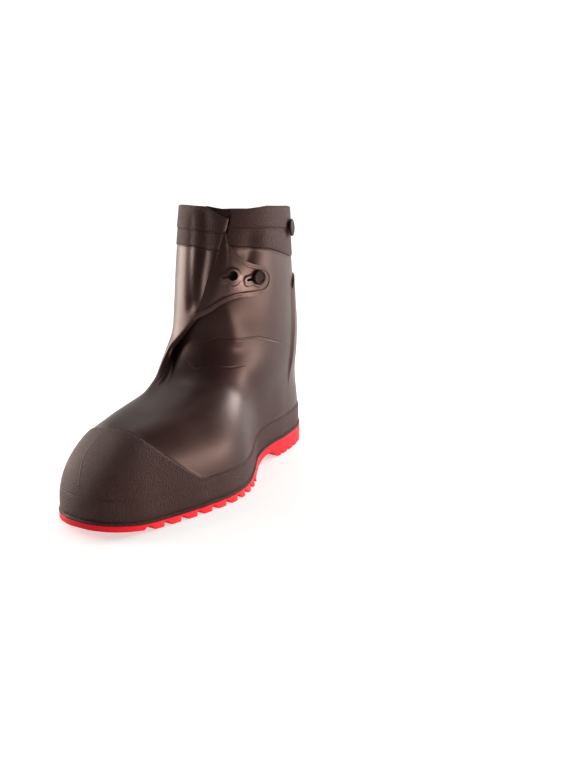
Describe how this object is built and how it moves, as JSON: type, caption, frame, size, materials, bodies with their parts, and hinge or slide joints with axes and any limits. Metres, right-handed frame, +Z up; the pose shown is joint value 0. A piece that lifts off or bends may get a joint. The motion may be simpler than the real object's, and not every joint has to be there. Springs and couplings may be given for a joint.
{
  "type": "overshoe",
  "caption": "Left moulded overshoe: a hollow dark upper with a front fold and a buttoned strap, on a red lugged sole. It is pulled on over a work shoe to keep it dry.",
  "frame": {"origin": "middle of the shoe's footprint box, on the floor", "axes": "+X to the toe, +Y to the outer side (the wearer's left), +Z up"},
  "size_m": [0.325, 0.1332, 0.2556],
  "materials": {
    "upper_pvc": "smooth semi-gloss moulded PVC, dark brown-black",
    "sole_pvc": "satin moulded PVC, bright red, finely grained lug faces",
    "footbed_pvc": "matt, dark",
    "strap_pvc": "smooth semi-gloss moulded PVC, dark brown-black",
    "button_pvc": "semi-gloss moulded PVC, dark brown-black"
  },
  "bodies": {
    "root": {"upper": "upper_pvc", "outsole": "sole_pvc", "insole": "footbed_pvc", "closing_strap": "strap_pvc", "strap_button": "button_pvc", "collar_button": "button_pvc"}
  },
  "joints": []
}
